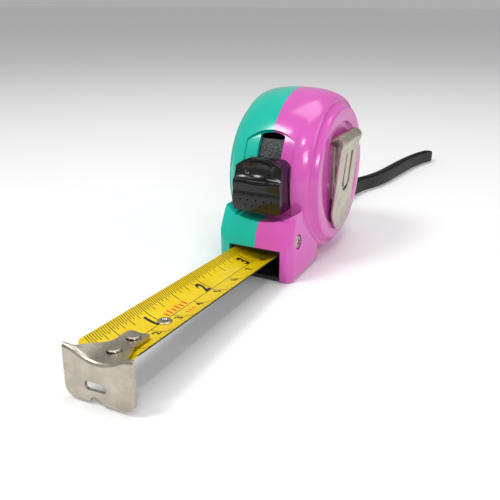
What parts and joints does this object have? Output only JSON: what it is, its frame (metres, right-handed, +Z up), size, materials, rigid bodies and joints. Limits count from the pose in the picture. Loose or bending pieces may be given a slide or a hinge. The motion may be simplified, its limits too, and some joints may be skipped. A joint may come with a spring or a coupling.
{
  "type": "tape measure",
  "caption": "Pocket tape measure with a two-colour case, thumb lock, belt clip, wrist strap, steel end hook and a blade drawn out and locked.",
  "frame": {"origin": "on the flat bottom face of the case, on the seam between the two shells", "axes": "+Z up, -Y the way the blade is drawn out, +X the side that carries the belt clip"},
  "size_m": [0.0354, 0.2652, 0.056],
  "materials": {
    "teal_plastic": "gloss moulded ABS",
    "pink_plastic": "gloss moulded ABS",
    "black_gloss": "gloss black button",
    "black_matte": "matte black moulding",
    "white_plastic": "natural acetal",
    "yellow_blade": "yellow lacquer with printed scale",
    "nickel": "nickel-plated steel, fine scratches",
    "spring_steel": "bare tempered strip",
    "black_webbing": "woven flat webbing"
  },
  "bodies": {
    "case": {"left_shell": "teal_plastic", "right_shell": "pink_plastic", "mouth_guide": "black_matte", "centre_post": "nickel", "detent_spring": "spring_steel", "clip_base": "nickel", "clip_screw": "nickel", "case_screws": "nickel", "strap_pin": "nickel", "wrist_strap": "black_webbing", "spool_washers": "white_plastic"},
    "spool": {"spool_drum": "black_matte", "spool_cover": "black_matte", "power_spring": "spring_steel", "blade_coil": "yellow_blade"},
    "blade": {"blade_tip": "yellow_blade", "blade_run": "yellow_blade", "blade_eyelet": "nickel", "hook_rivets": "nickel"},
    "hook": {"end_hook": "nickel"},
    "lock": {"lock_button": "black_gloss", "lock_slider": "black_matte", "brake_pad": "black_matte"},
    "clip": {"clip_leaf": "nickel"}
  },
  "joints": [
    {"name": "blade_pull", "type": "slide", "parent": "case", "child": "blade", "axis": [0, -0.9986, 0.0523], "range_m": [-0.0756, 0], "deforming": ["blade_run"]},
    {"name": "spool_spin", "type": "hinge", "parent": "case", "child": "spool", "pos_m": [0, 0.0055, 0.028], "axis": [1, 0, 0], "range_deg": [0, 241]},
    {"name": "hook_play", "type": "slide", "parent": "blade", "child": "hook", "axis": [0, -0.9986, 0.0523], "range_m": [-0.0008, 0]},
    {"name": "lock_slide", "type": "hinge", "parent": "case", "child": "lock", "pos_m": [0, 0.0055, 0.028], "axis": [-1, 0, 0], "range_deg": [0, 13]},
    {"name": "clip_flex", "type": "hinge", "parent": "case", "child": "clip", "pos_m": [0.0171, 0.0055, 0.0398], "axis": [0, -1, 0], "range_deg": [0, 8], "stiffness_Nm_per_rad": 0.6}
  ],
  "couplings": [
    {"joint": "spool_spin", "follows": "blade_pull", "rad_per_m": -55}
  ]
}
